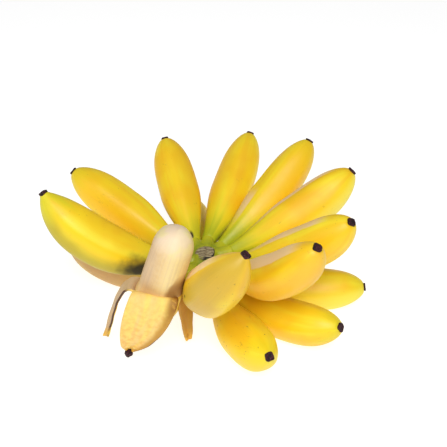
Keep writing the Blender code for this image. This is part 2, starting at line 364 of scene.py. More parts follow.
def cup_ring(part):
    """The skin's ring at a part of the way to the rim, slanted by the same part of its tilt."""
    points = []
    for index in range(SIDES):
        stop = part * (RIM + RIM_TILT * cos(2 * pi * index / SIDES - RIM_FRONT))
        squeeze = SQUEEZE * (1 - smooth(0, PEEL_SQUEEZED_TO, stop))
        frame = walk(PEELED, (stop,), early=True)[0]
        points.append(skin_ring(frame, peel_radius(stop), squeeze)[index])
    return points


def cup():
    """The skin's outer face up to the rim, open there. Returns the mesh and the rim's points."""
    parts = [level / CUP_LEVELS for level in range(CUP_LEVELS + 1)]
    rings = [cup_ring(part) for part in parts]
    bm = tube(rings, [RIM * part for part in parts])
    middle = sum(rings[-1], Vector()) / SIDES
    lids = [face for face in bm.faces if len(face.verts) == SIDES]
    lid = min(lids, key=lambda face: (face.calc_center_median() - middle).length)
    bmesh.ops.delete(bm, geom=[lid], context="FACES_ONLY")
    return bm, rings[-1]


# %% The strips of peel
# A strip keeps some of the rim's fifteenths, from its first one on. Its two edges run by way of
# two handles to their ends, in millimetres from the crown's axis, and its middle bulges outwards.
Strip = namedtuple("Strip", "first sides first_edge last_edge bulge")
STRIPS = [
    Strip(4, 5, ((-11, -78, 72), (-20, -77, 28), (-46, -63, 9)),
          ((-38, -78, 86), (-58, -78, 30), (-51, -62, 10)), 3),
    Strip(9, 3, ((-48, -54, 60), (-56, -50, 38), (-63, -50, 9)),
          ((-50, -42, 60), (-58, -46, 36), (-68, -44, 5.5)), 1.5),
    Strip(12, 4, ((-34, -30, 60), (-26, -20, 60), (-22, -20, 47)),
          ((-14, -36, 60), (-12, -26, 58), (-15, -17, 47)), 2),
    Strip(1, 3, ((-12, -38, 60), (-7, -36, 30), (-8.5, -47, 5)),
          ((-16, -58, 62), (-19, -48, 32), (-13, -50, 5.5)), 1.5),
]
ROWS = 30
FLAT_FROM = 0.25  # the part of a strip over which the rim's round section flattens
BULGE_FROM = 0.3  # the part of a strip after which its middle bulges
FINER = SIDES // 15


def cubic(points, u):
    """The place at u, from 0 to 1, on a cubic curve with four control points."""
    a, b, c, d = points
    v = 1 - u
    return v * v * v * a + 3 * v * v * u * b + 3 * v * u * u * c + u * u * u * d


def strip_rows(strip, rim):
    """The strip's rows of points, one for each corner of the rim that it keeps."""
    columns = strip.sides * FINER
    start = [rim[(strip.first * FINER + k) % SIDES] for k in range(columns + 1)]
    first = [start[0]] + [CROWN_AXIS + Vector(place) * MM for place in strip.first_edge]
    last = [start[-1]] + [CROWN_AXIS + Vector(place) * MM for place in strip.last_edge]
    before = (start[0], start[-1])
    rows = []
    for row in range(1, ROWS + 1):
        u = row / ROWS
        left, right = cubic(first, u), cubic(last, u)
        along = (left + right - before[0] - before[1]).normalized()
        outward = along.cross(right - left).normalized()
        before = (left, right)
        round_part = 1 - smooth(0, FLAT_FROM, u)
        points = []
        for k, place in enumerate(start):
            part = k / columns
            arc = place - start[0].lerp(start[-1], part)
            belly = 4 * part * (1 - part) * smooth(BULGE_FROM, 1, u)
            waves = noise.noise(place * 150 + along * u * 9) * 1.1 * u
            bulge = outward * (strip.bulge * belly + waves) * MM
            points.append(left.lerp(right, part) + arc * round_part + bulge)
        rows.append(points)
    return rows


def draw_strip(bm, strip, rim):
    """Pulls the strip out of its part of the rim, row by row."""
    columns = strip.sides * FINER
    places = [rim[(strip.first * FINER + k) % SIDES] for k in range(columns + 1)]
    place_layer = bm.verts.layers.float_vector["place"]
    edges = []
    for edge in bm.edges:
        near = [min((vert.co - place).length for place in places) < 0.01 * MM for vert in edge.verts]
        if all(near) and edge.is_boundary:
            edges.append(edge)
    for row_number, row in enumerate(strip_rows(strip, rim)):
        made = bmesh.ops.extrude_edge_only(bm, edges=edges)["geom"]
        edges = [part for part in made if isinstance(part, bmesh.types.BMEdge)]
        verts = [part for part in made if isinstance(part, bmesh.types.BMVert)]
        for vert in verts:
            k = min(range(len(places)), key=lambda k: (vert.co - places[k]).length)
            turn = 2 * pi * (strip.first * FINER + k) / SIDES
            vert.co = row[k]
            vert[place_layer] = (sin(turn), cos(turn), RIM + (1 - RIM) * (row_number + 1) / ROWS)
        places = row


peel_mesh, rim = cup()
for strip in STRIPS:
    draw_strip(peel_mesh, strip, rim)
peel = finish_mesh("peel_skin", peel_mesh, levels=0)
shell = peel.modifiers.new("skin thickness", "SOLIDIFY")
shell.thickness = SKIN
shell.offset = -1
shell.material_offset = 1
shell.material_offset_rim = 1
rounding = peel.modifiers.new("rounding", "SUBSURF")
rounding.levels = 1
rounding.render_levels = 1
print("peel strips:", len(STRIPS))

# %% The flower end on the front strip
end = (Vector(STRIPS[0].first_edge[-1]) + Vector(STRIPS[0].last_edge[-1])) / 2 * MM + CROWN_AXIS
down = Vector((-0.15, 0.1, -1)).normalized()
across = down.cross(Vector((0, 1, 0))).normalized()
frame_there = (end + down * 0.5 * MM, down, down.cross(across), across)
stubs["peel"] = finish_mesh("peel_flower_end", flower_end(frame_there, 3.2 * MM, 2.5 * MM, 0.4))

# %% [markdown]
# ## The bared flesh
#
# The flesh fills the skin below the rim, spreads a little where it leaves it, and rounds off on
# top. It is softer in section than the skin, and fine threads leave shallow lines along it. The
# lines come with its material, as bump.

# %% The flesh
FLESH_FILL = (0.80, 0.99)  # the part of the hollow's radius that it takes, low down and at the rim
FLESH_START = 0.06
FLESH_TOP = 0.87  # from here it rounds off
FLESH_LEVELS = 60
FOOT = 1.5 * MM  # how far it spreads where it meets the rim
FOOT_REACH = 0.06
ROUND_PARTS = (0.15, 0.3, 0.44, 0.57, 0.68, 0.77, 0.85, 0.91, 0.955, 0.985, 0.998)


def flesh_rings():
    """Rings and lengths of the flesh, closer together where it rounds off on top."""
    least, most = FLESH_FILL
    reach = FLESH_TOP - FLESH_START
    stops = [FLESH_START + reach * level / FLESH_LEVELS for level in range(FLESH_LEVELS + 1)]
    radii = []
    for stop in stops:
        fill = least + (most - least) * smooth(0.3, RIM, stop)
        slim = 1 - 0.05 * smooth(0.6, FLESH_TOP, stop)
        radii.append((peel_radius(stop) - SKIN) * fill * slim)
    full = radii[-1]
    for part in ROUND_PARTS:
        stops.append(FLESH_TOP + (1 - FLESH_TOP) * part)
        radii.append(full * sqrt(1 - part * part))
    rings = []
    for stop, radius, place in zip(stops, radii, walk(PEELED, stops, early=True)):
        ring = skin_ring(place, radius, ridge=0.016)
        for index in range(SIDES):
            rim_stop = RIM + RIM_TILT * cos(2 * pi * index / SIDES - RIM_FRONT)
            foot = FOOT * (1 - smooth(0, FOOT_REACH, abs(stop - rim_stop - FOOT_REACH / 3)))
            ring[index] += (ring[index] - place[0]).normalized() * foot
        rings.append(ring)
    return rings, stops


flesh = finish_mesh("bared_flesh", tube(*flesh_rings()))
print("flesh top at", round(max(v.co.z for v in flesh.data.vertices) / MM), "mm")

# %% [markdown]
# ## The crown
#
# All the necks grow together into one short crown, which was cut from the stalk on top. A turned
# core and a tapering arm to every banana are put into one mesh. A voxel Remesh modifier fuses
# them, which gives soft webs between the necks once a Smooth modifier has run over them.

# %% The crown with its arms
CROWN_PROFILE = ((15, 5), (18, 9), (24, 11.5), (33, 11.5), (38, 9.5), (42, 6.5))


def crown_ring(frame, radius, squeeze=0.0):
    """A round ring, pressed in at the sides."""
    point, _, up, side = frame
    turns = [2 * pi * index / 24 for index in range(24)]
    return [point + (side * sin(a) * (1 - squeeze) + up * cos(a)) * radius for a in turns]


# An arm's rings: the part of the way from the crown's axis to the banana's root, the radius in
# millimetres, and how much the sides are pressed in.
ARM_RINGS = ((0, 6.2, 0.3), (0.3, 6.4, 0.24), (0.6, 6.0, 0.14), (0.85, 5.6, 0.1))
ARM_BASE = 5 * MM
ARM_RISE = 0.8
INTO_NECK = 3.5 * MM


def crown_arm(banana, early=False):
    """An arm from the crown's axis that runs a little way into the banana's neck."""
    start = CROWN_AXIS + Vector((0, 0, ARM_BASE + ARM_RISE * banana.height * MM))
    stop = INTO_NECK / (banana.length * MM)
    (point, forward, up, side), inside = walk(banana, (0, stop), early)
    radius = NECK + (banana.width * MM / 2 - NECK) * smooth(*SWELL, 0)
    rings = []
    for part, size, squeeze in ARM_RINGS:
        place = start.lerp(point, part)
        rings.append(crown_ring((place, forward, up, side), size * MM, squeeze))
    rings.append(crown_ring((point, forward, up, side), radius, SQUEEZE))
    rings.append(crown_ring(inside, radius * 0.86, SQUEEZE))
    return tube(rings, [0] * len(rings))


def crown_mesh():
    """The core and all arms in one mesh, still overlapping."""
    upright = (Vector((0, 0, 1)), Vector((0, 1, 0)), Vector((1, 0, 0)))
    rings = []
    for height, radius in CROWN_PROFILE:
        rings.append(crown_ring((CROWN_AXIS + Vector((0, 0, height * MM)), *upright), radius * MM))
    whole = tube(rings, [0] * len(rings))
    for banana in UPPER_ROW + LOWER_ROW + [PEELED]:
        arm = crown_arm(banana, banana is PEELED)
        part = bpy.data.meshes.new("crown arm")
        arm.to_mesh(part)
        arm.free()
        whole.from_mesh(part)
        bpy.data.meshes.remove(part)
    return whole


crown = finish_mesh("crown_body", crown_mesh(), levels=0)
fuse = crown.modifiers.new("grown together", "REMESH")
fuse.mode = "VOXEL"
fuse.voxel_size = 0.5 * MM
fuse.use_smooth_shade = True
soften = crown.modifiers.new("soft webs", "SMOOTH")
soften.factor = 0.5
soften.iterations = 10
print("crown arms:", len(UPPER_ROW + LOWER_ROW) + 1)

# %% [markdown]
# ## Colours by nodes
#
# A node tree is easier to read when each step is one line. These helpers add a node, set it or
# link it, and give back its output.


# %% Node helpers
def put(tree, socket, value):
    """Links a socket's output into the input, or sets a plain value on it."""
    if isinstance(value, bpy.types.NodeSocket):
        tree.links.new(value, socket)
    elif isinstance(value, tuple) and len(value) == 3 and socket.type == "RGBA":
        socket.default_value = (*value, 1)
    else:
        socket.default_value = value


def maths(tree, operation, a, b=0.0):
    """A Math node's output."""
    node = tree.nodes.new("ShaderNodeMath")
    node.operation = operation
    put(tree, node.inputs[0], a)
    put(tree, node.inputs[1], b)
    return node.outputs[0]


def times(tree, *values):
    """The product of the values."""
    product = values[0]
    for value in values[1:]:
        product = maths(tree, "MULTIPLY", product, value)
    return product


def plus(tree, a, b):
    """The sum of two values."""
    return maths(tree, "ADD", a, b)


def minus(tree, a, b):
    """The first value less the second."""
    return maths(tree, "SUBTRACT", a, b)


def outside(tree, mask):
    """A mask's opposite."""
    return minus(tree, 1.0, mask)


def waver(tree, noise_value, width):
    """Noise that goes about as far below zero as above it."""
    return times(tree, minus(tree, noise_value, 0.5), width)


def vector_maths(tree, operation, a, b):
    """A Vector Math node's vector output, or its number where it gives one."""
    node = tree.nodes.new("ShaderNodeVectorMath")
    node.operation = operation
    put(tree, node.inputs[0], a)
    put(tree, node.inputs[1], b)
    return node.outputs["Value" if operation in ("DOT_PRODUCT", "DISTANCE") else "Vector"]


def stretch(tree, vector, scales):
    """The vector with each of its numbers scaled."""
    return vector_maths(tree, "MULTIPLY", vector, scales)


def coordinates(tree, vector):
    """The vector's three numbers."""
    node = tree.nodes.new("ShaderNodeSeparateXYZ")
    put(tree, node.inputs[0], vector)
    return tuple(node.outputs)


def step(tree, value, start, end):
    """Eases from 0 to 1 as the value goes from start to end."""
    node = tree.nodes.new("ShaderNodeMapRange")
    node.interpolation_type = "SMOOTHSTEP"
    put(tree, node.inputs["Value"], value)
    node.inputs["From Min"].default_value = start
    node.inputs["From Max"].default_value = end
    return node.outputs["Result"]


def blend(tree, factor, a, b):
    """A colour between a and b."""
    node = tree.nodes.new("ShaderNodeMix")
    node.data_type = "RGBA"
    put(tree, node.inputs["Factor"], factor)
    put(tree, node.inputs[6], a)
    put(tree, node.inputs[7], b)
    return node.outputs[2]


def grain(tree, vector, scale, detail=2.0):
    """Noise from about 0.3 to 0.7."""
    node = tree.nodes.new("ShaderNodeTexNoise")
    put(tree, node.inputs["Vector"], vector)
    node.inputs["Scale"].default_value = scale
    node.inputs["Detail"].default_value = detail
    return node.outputs["Fac"]


def new_group(name, inputs, outputs):
    """An empty node group with named sockets, given as (name, kind, value)."""
    tree = bpy.data.node_groups.new(name, "ShaderNodeTree")
    for label, kind, value in inputs:
        socket = tree.interface.new_socket(label, in_out="INPUT", socket_type="NodeSocket" + kind)
        socket.default_value = value
    for label, kind in outputs:
        tree.interface.new_socket(label, in_out="OUTPUT", socket_type="NodeSocket" + kind)
    return tree, tree.nodes.new("NodeGroupInput").outputs, tree.nodes.new("NodeGroupOutput").inputs


# %% [markdown]
# ## Banana skin
#
# Ripe skin is lemon yellow, with bands of deeper yellow and orange that run along it. It stays
# green where it ripens last, at the neck and round the flower end. A painted sheen makes one flat
# face paler and pinkish, with a crisp edge at the ridge. One side has painted shade where its
# neighbours shade it, and on two bananas painted light. Specks, scratches and a bruise come with
# age, and two necks carry a spot of painted shade. All of it is one node group, and every banana
# sets its own amounts.

# %% The skin group
LEMON = (0.97, 0.78, 0.030)
YELLOW = (0.96, 0.67, 0.012)
DEEP_YELLOW = (0.93, 0.56, 0.010)
# These three colours are used only on a banana's shaded side: the first two as painted shade, the
# third as painted light.
AMBER_SHADE = (0.90, 0.50, 0.035)
OLIVE = (0.42, 0.37, 0.015)
PALE_LEMON = (0.98, 0.83, 0.07)
ORANGE = (0.91, 0.47, 0.012)
GREEN = (0.40, 0.45, 0.010)
LIME = (0.76, 0.67, 0.018)
SHEEN_TAN = (0.93, 0.66, 0.36)
DULL = (0.58, 0.37, 0.040)
# Used only on a banana's shaded side, as painted shade.
SHADY_TAN = (0.52, 0.29, 0.12)
BROWN = (0.16, 0.07, 0.02)
BRUISE_AND_SHADE = (0.034, 0.028, 0.008)
NOWHERE = (0, 0, 0)  # no direction, for a banana without a painted sheen
FAR_OFF = (0, 0, -9)  # off the banana, for one with neither a bruise nor a painted shade spot
SEED_SHIFT = 7.3  # how far apart two bananas lie in the noise
SHEEN_FROM = 0.83  # how closely a direction has to agree with the side of the painted sheen

skin_inputs = (
    ("Place", "Vector", (0, 0, 0)),
    ("Point", "Vector", (0, 0, 0)),
    ("Seed", "Float", 0.0),
    ("Neck green", "Float", 0.5),
    ("Tip green", "Float", 0.3),
    ("Orange", "Float", 0.3),
    ("Dullness", "Float", 0.0),
    ("Specks", "Float", 0.2),
    ("Pressed side", "Vector", NOWHERE),
    ("Pressed end", "Float", 0.9),
    ("Shaded side", "Vector", NOWHERE),
    ("Shade colour", "Color", (*ORANGE, 1)),
    ("Bruise place", "Vector", FAR_OFF),
    ("Bruise size", "Float", 0.5),
)
skin_outputs = (("Colour", "Color"), ("Roughness", "Float"), ("Height", "Float"))
tree, given, out = new_group("banana skin", skin_inputs, skin_outputs)
along = coordinates(tree, given["Place"])[2]


def bent(scale_round, scale_along, shift):
    """The place on the banana, stretched, and shifted by the banana's seed."""
    stretched = stretch(tree, given["Place"], (scale_round, scale_round, scale_along))
    seed = plus(tree, times(tree, given["Seed"], SEED_SHIFT), shift)
    return vector_maths(tree, "ADD", stretched, seed)


# Bands that run along the banana, then slow patches that cross them.
bands = grain(tree, bent(1.7, 1.1, 0), 1.0, 2)
patches = grain(tree, given["Point"], 34)
fine = grain(tree, given["Point"], 170, 3)
fibres = grain(tree, bent(24, 5, 3), 1.0, 3)
colour = blend(tree, step(tree, bands, 0.36, 0.60), LEMON, YELLOW)
colour = blend(tree, step(tree, patches, 0.42, 0.68), colour, DEEP_YELLOW)
streaks = step(tree, grain(tree, bent(2.0, 1.2, 11), 1.0, 2), 0.46, 0.70)
colour = blend(tree, times(tree, streaks, given["Orange"]), colour, ORANGE)
# Dull patches, fewer towards the flower end.
dull = step(tree, minus(tree, patches, times(tree, along, 0.22)), 0.16, 0.42)
colour = blend(tree, times(tree, dull, given["Dullness"]), colour, DULL)

# %% The painted light and shade on one side, and the painted sheen
# Painted shade: the side that neighbours shade turns to the given colour. On banana_06 and banana_12
# that colour is paler, and it is painted light.
facing = vector_maths(tree, "DOT_PRODUCT", given["Place"], given["Shaded side"])
shaded = step(tree, plus(tree, facing, waver(tree, patches, 0.5)), 0.45, 1.0)
colour = blend(tree, times(tree, shaded, 0.8), colour, given["Shade colour"])
# Painted sheen: a flat face that reflects the light is paler and pinkish, with a thin orange edge at
# its ridge.
facing = vector_maths(tree, "DOT_PRODUCT", given["Place"], given["Pressed side"])
wavering = plus(tree, facing, waver(tree, fine, 0.05))
pressed = step(tree, wavering, SHEEN_FROM, 0.88)
# The painted sheen starts beyond the neck and fades out before its end.
beyond = minus(tree, along, given["Pressed end"])
window = times(tree, step(tree, along, 0.06, 0.30), outside(tree, step(tree, beyond, -0.15, 0.0)))
pressed = times(tree, pressed, window, plus(tree, 0.45, patches))
colour = blend(tree, pressed, colour, SHEEN_TAN)
before = step(tree, wavering, 0.79, SHEEN_FROM)
past = step(tree, wavering, SHEEN_FROM, 0.87)
sheen_edge = times(tree, before, outside(tree, past), window, 0.25)
colour = blend(tree, sheen_edge, colour, ORANGE)
colour = blend(tree, times(tree, step(tree, fibres, 0.5, 0.75), 0.15), colour, DEEP_YELLOW)

# %% Green ends
ragged = plus(tree, along, waver(tree, bands, 0.35))
limey = outside(tree, step(tree, ragged, 0.08, 0.44))
colour = blend(tree, times(tree, limey, given["Neck green"]), colour, LIME)
greener = outside(tree, step(tree, ragged, 0.0, 0.24))
colour = blend(tree, times(tree, greener, given["Neck green"]), colour, GREEN)
at_tip = times(tree, step(tree, ragged, 0.80, 0.98), given["Tip green"])
colour = blend(tree, at_tip, colour, LIME)

# %% Specks, scratches, the bruise and painted shade spots
spots = step(tree, grain(tree, given["Point"], 520, 1), 0.69, 0.75)
areas = step(tree, grain(tree, given["Point"], 48), 0.48, 0.62)
specks = times(tree, spots, areas, given["Specks"])
colour = blend(tree, times(tree, specks, 0.9), colour, BROWN)
# Where noise crosses its middle it draws thin lines, and some of them stay as scratches.
thread = maths(tree, "ABSOLUTE", minus(tree, grain(tree, bent(4, 7, 5), 1.0, 1.5), 0.5))
thread = outside(tree, step(tree, thread, 0.0, 0.008))
some = step(tree, grain(tree, given["Point"], 62), 0.56, 0.66)
scratch = times(tree, thread, some, given["Specks"])
colour = blend(tree, times(tree, scratch, 0.9), colour, BROWN)

# A real bruise on some bananas. On the necks of banana_03 and banana_04 the same dark spot is painted
# shade in the gap between two necks.
away = vector_maths(tree, "SUBTRACT", given["Place"], given["Bruise place"])
away = vector_maths(tree, "DISTANCE", stretch(tree, away, (1, 1, 6)), (0, 0, 0))
reach = plus(tree, maths(tree, "DIVIDE", away, given["Bruise size"]), waver(tree, fine, 0.5))
bruise = outside(tree, step(tree, reach, 0.25, 1.1))
colour = blend(tree, bruise, colour, BRUISE_AND_SHADE)

put(tree, out["Colour"], colour)
rough = plus(tree, 0.32, times(tree, fine, 0.22))
rough = plus(tree, rough, times(tree, bruise, 0.4))
put(tree, out["Roughness"], plus(tree, rough, times(tree, pressed, 0.15)))
relief = plus(tree, times(tree, fibres, 0.35), times(tree, fine, 0.25))
put(tree, out["Height"], minus(tree, relief, times(tree, specks, 0.2)))
skin_group = tree
print("skin group nodes:", len(tree.nodes))


# %% A material that uses a group
def new_material(name, group, relief=0.3, depth=0.3 * MM, **levels):
    """A material whose colour, roughness and relief come from the node group."""
    material = bpy.data.materials.new(name)
    material.use_nodes = True
    tree = material.node_tree
    shader = tree.nodes["Principled BSDF"]
    effect = tree.nodes.new("ShaderNodeGroup")
    effect.node_tree = group
    place = tree.nodes.new("ShaderNodeAttribute")
    place.attribute_name = "place"
    if "Place" in effect.inputs:
        put(tree, effect.inputs["Place"], place.outputs["Vector"])
    coords = tree.nodes.new("ShaderNodeTexCoord")
    put(tree, effect.inputs["Point"], coords.outputs["Object"])
    for label, value in levels.items():
        put(tree, effect.inputs[label.replace("_", " ").capitalize()], value)
    bump = tree.nodes.new("ShaderNodeBump")
    bump.inputs["Strength"].default_value = relief
    bump.inputs["Distance"].default_value = depth
    put(tree, bump.inputs["Height"], effect.outputs["Height"])
    put(tree, shader.inputs["Base Color"], effect.outputs["Colour"])
    put(tree, shader.inputs["Roughness"], effect.outputs["Roughness"])
    put(tree, shader.inputs["Normal"], bump.outputs["Normal"])
    shader.inputs["Specular IOR Level"].default_value = 0.4
    return material


# %% [markdown]
# ## Every banana's own amounts
# The necks at the back of the hand are the greenest. The front banana is dull and a little
# overripe, and the first one has a dark bruise where it bent against the crown. The small dark
# spots on the necks of banana_03 and banana_04 are painted shade in the gaps between necks.
# Directions are degrees round a banana, from the side that looks into the bowl.

# %% Amounts for each banana
# The green of its neck and tip, orange, dullness and specks. Then the side of the painted sheen with
# the length to which it reaches, the side of painted shade with its colour (painted light on
# banana_06 and banana_12), and the place and size of a dark spot: a bruise, and on banana_03 and
# banana_04 painted shade.
Amounts = namedtuple("Amounts", "neck tip orange dull specks pressed end shaded shade bruise size")
AMOUNTS = {
    "banana_01": Amounts(0.5, 0.9, 0.1, 0.0, 0.2, None, 0.9, 140, OLIVE, (108, 0.22), 1.15),
    "banana_02": Amounts(0.4, 0.5, 0.6, 0.0, 0.3, None, 0.9, 25, DEEP_YELLOW, None, 0.5),
    # banana_03 and banana_04: the dark spot at the neck is painted shade.
    "banana_03": Amounts(0.6, 0.1, 0.6, 0.0, 0.2, None, 0.9, 300, DEEP_YELLOW, (4, 0.03), 0.32),
    "banana_04": Amounts(0.9, 0.1, 0.4, 0.0, 0.1, None, 0.9, 60, DEEP_YELLOW, (100, 0.04), 0.35),
    "banana_05": Amounts(0.9, 0.2, 0.5, 0.0, 0.1, 42, 0.5, 315, DEEP_YELLOW, None, 0.5),
    "banana_06": Amounts(0.9, 0.1, 0.4, 0.0, 0.2, 48, 0.95, 240, PALE_LEMON, None, 0.5),
    "banana_07": Amounts(0.7, 0.1, 0.8, 0.0, 0.2, 36, 0.9, 300, DEEP_YELLOW, None, 0.5),
    "banana_08": Amounts(0.1, 0.0, 0.4, 0.0, 0.3, 346, 0.95, 215, AMBER_SHADE, (322, 0.34), 0.14),
    "banana_09": Amounts(0.0, 0.1, 0.5, 0.3, 0.5, 292, 0.9, 205, DULL, (225, 0.52), 0.08),
    "banana_10": Amounts(0.1, 0.5, 0.0, 0.1, 0.8, None, 0.9, 255, YELLOW, None, 0.5),
    "banana_11": Amounts(0.2, 0.6, 0.0, 0.0, 0.2, None, 0.9, 232, DEEP_YELLOW, None, 0.5),
    "banana_12": Amounts(0.2, 0.3, 0.0, 0.0, 0.1, None, 0.9, 250, PALE_LEMON, None, 0.5),
    "banana_13": Amounts(0.4, 0.3, 0.4, 0.4, 0.3, None, 0.9, 112, SHADY_TAN, None, 0.5),
    "banana_15": Amounts(0.9, 0.1, 0.1, 0.0, 0.1, None, 0.9, 0, OLIVE, None, 0.5),
}
PLAIN = Amounts(0.6, 0.3, 0.3, 0.1, 0.2, None, 0.9, 240, DEEP_YELLOW, None, 0.5)


def direction(degrees, height=0):
    """A direction round the banana, as the skins keep it, at a part of the length."""
    return (sin(radians(degrees)), cos(radians(degrees)), height)


for number, banana in enumerate(UPPER_ROW + LOWER_ROW):
    amounts = AMOUNTS.get(banana.name, PLAIN)
    pressed = NOWHERE if amounts.pressed is None else direction(amounts.pressed)
    bruise = FAR_OFF if amounts.bruise is None else direction(*amounts.bruise)
    material = new_material(
        "skin of " + banana.name, skin_group, seed=number, neck_green=amounts.neck,
        tip_green=amounts.tip, orange=amounts.orange, dullness=amounts.dull,
        specks=amounts.specks, pressed_side=pressed, pressed_end=amounts.end,
        shaded_side=direction(amounts.shaded), shade_colour=amounts.shade,
        bruise_place=bruise, bruise_size=amounts.size)
    skins[banana.name].data.materials.append(material)
print("skin materials:", len(skins))

# %% [markdown]
# ## The other finishes
#
# The flower ends are dry and crusty, almost black with a purple cast and painted pink glints. The
# flesh is cream with fine threads along it, with painted light at its right and painted shade at
# its left and low at the right. The inside of the peel is cream too, yellower and a little
# stringy, with painted shade on the strips, near the rim and along two edges. The crown is green
# between the necks and yellower towards them, with a dry grey-brown cut on top.

# %% Dried flower ends
BLACK_PURPLE = (0.008, 0.001, 0.002)
DARK_PURPLE = (0.060, 0.009, 0.016)
GLINT_PINK = (0.30, 0.18, 0.20)

point_only = (("Point", "Vector", (0, 0, 0)),)
tree, given, out = new_group("dried flower", point_only, skin_outputs)
crust = grain(tree, given["Point"], 700, 4)
# Painted glints: pale pink flecks on the crust.
glints = step(tree, grain(tree, given["Point"], 1500, 2), 0.62, 0.72)
colour = blend(tree, step(tree, crust, 0.35, 0.65), BLACK_PURPLE, DARK_PURPLE)
put(tree, out["Colour"], blend(tree, times(tree, glints, 0.35), colour, GLINT_PINK))
put(tree, out["Roughness"], plus(tree, 0.6, times(tree, crust, 0.4)))
put(tree, out["Height"], crust)
dried = new_material("dried flower end", tree, relief=0.9, depth=0.6 * MM)
for stub in stubs.values():
    stub.data.materials.append(dried)
print("dried ends:", len(stubs))

# %% Flesh
# Cream, with painted light that makes it paler at the right and painted shade that greys it at
# the left. Low down it is honey coloured, with a painted shadow of banana_09 at its right side.
CREAM = (0.78, 0.54, 0.24)
PALE_CREAM = (0.95, 0.78, 0.37)
MEALY = (0.84, 0.66, 0.36)
GREY_PINK = (0.66, 0.46, 0.29)
THREAD = (0.58, 0.40, 0.24)
PINK_TOP = (0.90, 0.74, 0.56)
LEMON_TOP = (0.90, 0.80, 0.38)
HONEY = (0.86, 0.56, 0.18)
FLESH_SHADOW = (0.44, 0.21, 0.05)

place_and_point = (("Place", "Vector", (0, 0, 0)), ("Point", "Vector", (0, 0, 0)))
tree, given, out = new_group("flesh", place_and_point, skin_outputs)
to_right, to_bowl, along = coordinates(tree, given["Place"])
threads = grain(tree, stretch(tree, given["Place"], (9, 9, 2)), 1.0, 3)
finest = grain(tree, stretch(tree, given["Place"], (38, 38, 4)), 1.0, 2)
cloud = grain(tree, given["Point"], 75)
mottle = grain(tree, given["Point"], 420, 3)
# Painted light: paler towards the right.
colour = blend(tree, step(tree, to_right, 0.0, 0.9), CREAM, PALE_CREAM)
colour = blend(tree, times(tree, step(tree, mottle, 0.40, 0.62), 0.3), colour, MEALY)
# Painted shade: greyer pink towards the left, where the threads also show more.
painted_left_shade = times(tree, step(tree, minus(tree, cloud, to_right), 0.15, 1.05), 0.6)
colour = blend(tree, painted_left_shade, colour, GREY_PINK)
lines = times(tree, step(tree, finest, 0.50, 0.62), plus(tree, painted_left_shade, 0.06))
colour = blend(tree, lines, colour, THREAD)
colour = blend(tree, times(tree, step(tree, threads, 0.50, 0.62), 0.2), colour, GREY_PINK)
two_tone = blend(tree, step(tree, cloud, 0.42, 0.58), PINK_TOP, LEMON_TOP)
colour = blend(tree, times(tree, step(tree, along, 0.86, 0.96), 0.6), colour, two_tone)
foot = outside(tree, step(tree, along, 0.50, 0.68))
colour = blend(tree, times(tree, foot, 0.8), colour, HONEY)
# Painted shadow of banana_09, low down on the right side.
slanting = minus(tree, plus(tree, to_right, to_bowl), times(tree, along, 3.0))
slanting = plus(tree, slanting, times(tree, cloud, 0.6))
low = outside(tree, step(tree, along, 0.66, 0.77))
banana_09_shadow = times(tree, step(tree, slanting, -1.70, -1.35), step(tree, to_right, 0.0, 0.4), low, 0.85)
colour = blend(tree, banana_09_shadow, colour, FLESH_SHADOW)
put(tree, out["Colour"], colour)
put(tree, out["Roughness"], plus(tree, 0.45, times(tree, cloud, 0.2)))
put(tree, out["Height"], plus(tree, threads, times(tree, finest, 0.5)))
flesh.data.materials.append(new_material("flesh", tree, relief=0.3, depth=0.5 * MM))
print("flesh group nodes:", len(tree.nodes))

# %% Both sides of the peel
# Inside, the pith is mottled. Painted shade makes the left strip grey and the right one amber.
# It is darkest, again as painted shade, near the rim beside banana_09 and along two edges.
PITH = (0.90, 0.62, 0.20)
WARM_PITH = (0.86, 0.43, 0.07)
LEMON_PITH = (0.92, 0.68, 0.16)
PITH_STRING = (0.78, 0.50, 0.16)
GREY_TAN = (0.58, 0.40, 0.24)
SHADE_AMBER = (0.48, 0.22, 0.010)
SHADE_BROWN = (0.22, 0.08, 0.008)
EDGE_SHADE = (0.09, 0.036, 0.016)
WORN_AMBER = (0.80, 0.45, 0.05)
BEHIND_FRONT_STRIP = (-71 * MM, -69 * MM)  # only the front strip lies nearer than this

tree, given, out = new_group("inside of the peel", place_and_point, skin_outputs)
to_right, to_bowl, along = coordinates(tree, given["Place"])
to_left = times(tree, to_right, -1.0)
right_and_bowl = plus(tree, to_right, to_bowl)
behind = step(tree, coordinates(tree, given["Point"])[1], *BEHIND_FRONT_STRIP)
strings = grain(tree, stretch(tree, given["Place"], (16, 16, 3)), 1.0, 3)
cloud = grain(tree, stretch(tree, given["Place"], (3, 3, 5)), 1.0, 4)
blotches = grain(tree, given["Point"], 330, 3)
colour = blend(tree, step(tree, cloud, 0.38, 0.62), PITH, LEMON_PITH)
warmer = plus(tree, times(tree, step(tree, along, 0.60, 1.0), 0.5), 0.3)
warmer = times(tree, warmer, step(tree, blotches, 0.34, 0.74))
colour = blend(tree, warmer, colour, WARM_PITH)
colour = blend(tree, times(tree, step(tree, strings, 0.52, 0.68), 0.25), colour, PITH_STRING)
# Painted shade on the left strip.
colour = blend(tree, times(tree, step(tree, to_left, 0.58, 0.66), 0.85), colour, GREY_TAN)
# Painted shade along the left strip's inner edge.
edge = times(tree, step(tree, to_left, 0.583, 0.587), outside(tree, step(tree, to_left, 0.62, 0.67)))
edge = times(tree, edge, step(tree, along, 0.56, 0.66), behind)
colour = blend(tree, edge, colour, EDGE_SHADE)
# Painted shade on the right strip.
shaded_right = times(tree, step(tree, right_and_bowl, 0.2, 0.7), step(tree, to_right, 0.0, 0.4))
colour = blend(tree, times(tree, shaded_right, 0.85), colour, SHADE_AMBER)
